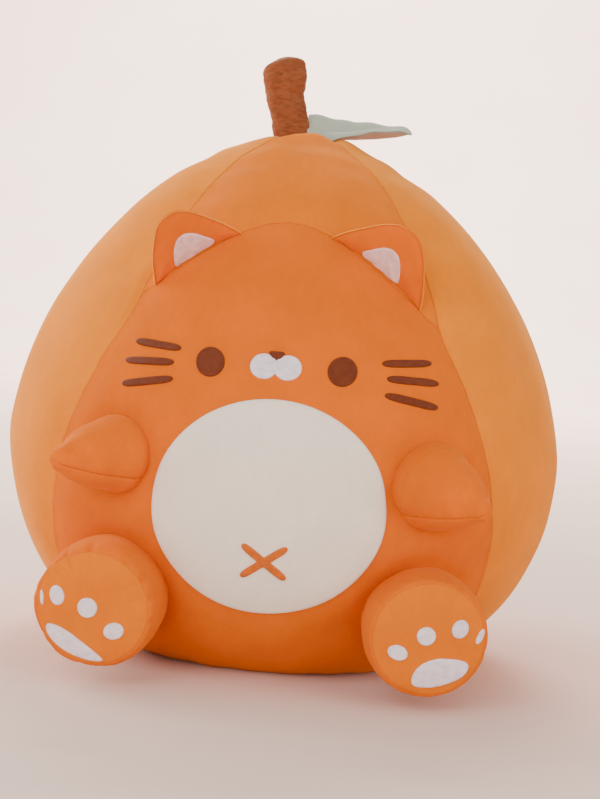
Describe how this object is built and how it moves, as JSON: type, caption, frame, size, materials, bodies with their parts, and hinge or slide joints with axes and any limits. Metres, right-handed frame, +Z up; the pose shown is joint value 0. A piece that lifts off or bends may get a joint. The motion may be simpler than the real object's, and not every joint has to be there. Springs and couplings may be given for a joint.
{
  "type": "plush cat",
  "caption": "Round stuffed cat with sewn fabric panels, embroidered face, drum feet with paw pads, teardrop arms, upright ears, a stem and a leaf on its crown.",
  "frame": {"origin": "centre of the flat underside", "axes": "+Z up, -Y the way the face looks, +X the cat's own left"},
  "size_m": [0.434, 0.4967, 0.4723],
  "materials": {
    "deep_orange_plush": "short smooth pile",
    "light_orange_plush": "short smooth pile",
    "pale_orange_plush": "short smooth pile",
    "grey_white_plush": "short smooth pile",
    "brown_thread": "satin stitch",
    "lilac_thread": "satin stitch",
    "pink_thread": "satin stitch",
    "orange_thread": "satin stitch",
    "brown_plush": "short pile",
    "pale_green_plush": "short pile",
    "grey_pink_plush": "brushed knit",
    "ribbon": "satin ribbon",
    "filling": "loose polyester fibre"
  },
  "bodies": {
    "torso": {"forehead_panel": "light_orange_plush", "face_panel": "deep_orange_plush", "side_panel_left": "pale_orange_plush", "side_panel_right": "pale_orange_plush", "back_panel_left": "pale_orange_plush", "back_panel_right": "pale_orange_plush", "base_panel": "deep_orange_plush", "body_stuffing": "filling", "eye_left": "brown_thread", "whiskers_left": "brown_thread", "eye_right": "brown_thread", "whiskers_right": "brown_thread", "nose": "brown_thread", "muzzle": "lilac_thread", "belly_patch": "grey_white_plush", "navel_cross": "orange_thread"},
    "ear_left": {"ear_left_front": "deep_orange_plush", "ear_left_wadding": "filling", "ear_left_back": "light_orange_plush", "ear_left_inner": "pink_thread"},
    "arm_left": {"arm_left_upper": "deep_orange_plush", "arm_left_lower": "deep_orange_plush", "arm_left_stuffing": "filling"},
    "leg_left": {"leg_left_cover": "deep_orange_plush", "leg_left_sole": "light_orange_plush", "leg_left_stuffing": "filling", "leg_left_toe_pads": "lilac_thread", "leg_left_heel_pad": "lilac_thread"},
    "ear_right": {"ear_right_front": "deep_orange_plush", "ear_right_wadding": "filling", "ear_right_back": "light_orange_plush", "ear_right_inner": "pink_thread"},
    "arm_right": {"arm_right_upper": "deep_orange_plush", "arm_right_lower": "deep_orange_plush", "arm_right_stuffing": "filling"},
    "leg_right": {"leg_right_cover": "deep_orange_plush", "leg_right_sole": "light_orange_plush", "leg_right_stuffing": "filling", "leg_right_toe_pads": "lilac_thread", "leg_right_heel_pad": "lilac_thread"},
    "stem": {"stem_cover": "brown_plush", "stem_stuffing": "filling"},
    "leaf": {"leaf_top": "pale_green_plush", "leaf_underside": "grey_pink_plush"},
    "tail": {"tail_cover": "light_orange_plush", "tail_stuffing": "filling"},
    "label": {"side_label": "ribbon"}
  },
  "joints": [
    {"name": "ear_left_hinge", "type": "hinge", "parent": "torso", "child": "ear_left", "pos_m": [0.06415, -0.1465, 0.30564], "axis": [-0.8279, 0.0715, 0.5563], "range_deg": [-12, 12], "stiffness_Nm_per_rad": 0.02},
    {"name": "ear_right_hinge", "type": "hinge", "parent": "torso", "child": "ear_right", "pos_m": [-0.06415, -0.1465, 0.30564], "axis": [-0.8279, -0.0715, -0.5563], "range_deg": [-12, 12], "stiffness_Nm_per_rad": 0.02},
    {"name": "arm_left_hinge", "type": "hinge", "parent": "torso", "child": "arm_left", "pos_m": [0.11335, -0.18497, 0.157], "axis": [-0.8191, -0.5736, 0], "range_deg": [-20, 20], "stiffness_Nm_per_rad": 0.06},
    {"name": "arm_right_hinge", "type": "hinge", "parent": "torso", "child": "arm_right", "pos_m": [-0.11144, -0.1862, 0.162], "axis": [-0.809, 0.5878, 0], "range_deg": [-20, 20], "stiffness_Nm_per_rad": 0.06},
    {"name": "leg_left_hinge", "type": "hinge", "parent": "torso", "child": "leg_left", "pos_m": [0.11295, -0.17261, 0.056], "axis": [-0.9925, -0.1219, 0], "range_deg": [-6, 14], "stiffness_Nm_per_rad": 0.4},
    {"name": "leg_right_hinge", "type": "hinge", "parent": "torso", "child": "leg_right", "pos_m": [-0.11075, -0.17723, 0.06], "axis": [-0.9925, 0.1219, 0], "range_deg": [-6, 14], "stiffness_Nm_per_rad": 0.4},
    {"name": "stem_hinge", "type": "hinge", "parent": "torso", "child": "stem", "pos_m": [-0.013, 0, 0.4115], "axis": [0, 1, 0], "range_deg": [-14, 5], "stiffness_Nm_per_rad": 0.1},
    {"name": "leaf_hinge", "type": "hinge", "parent": "stem", "child": "leaf", "pos_m": [0.00359, 0, 0.4214], "axis": [0, -1, 0], "range_deg": [0, 25], "stiffness_Nm_per_rad": 0.02},
    {"name": "tail_hinge", "type": "hinge", "parent": "torso", "child": "tail", "pos_m": [0, 0.19832, 0.078], "axis": [0, 0, 1], "range_deg": [-12, 12], "stiffness_Nm_per_rad": 0.1},
    {"name": "label_hinge", "type": "hinge", "parent": "torso", "child": "label", "pos_m": [0.19872, 0.04588, 0.22524], "axis": [-0.3294, -0.076, 0.9411], "range_deg": [-35, 35], "stiffness_Nm_per_rad": 0.001}
  ]
}
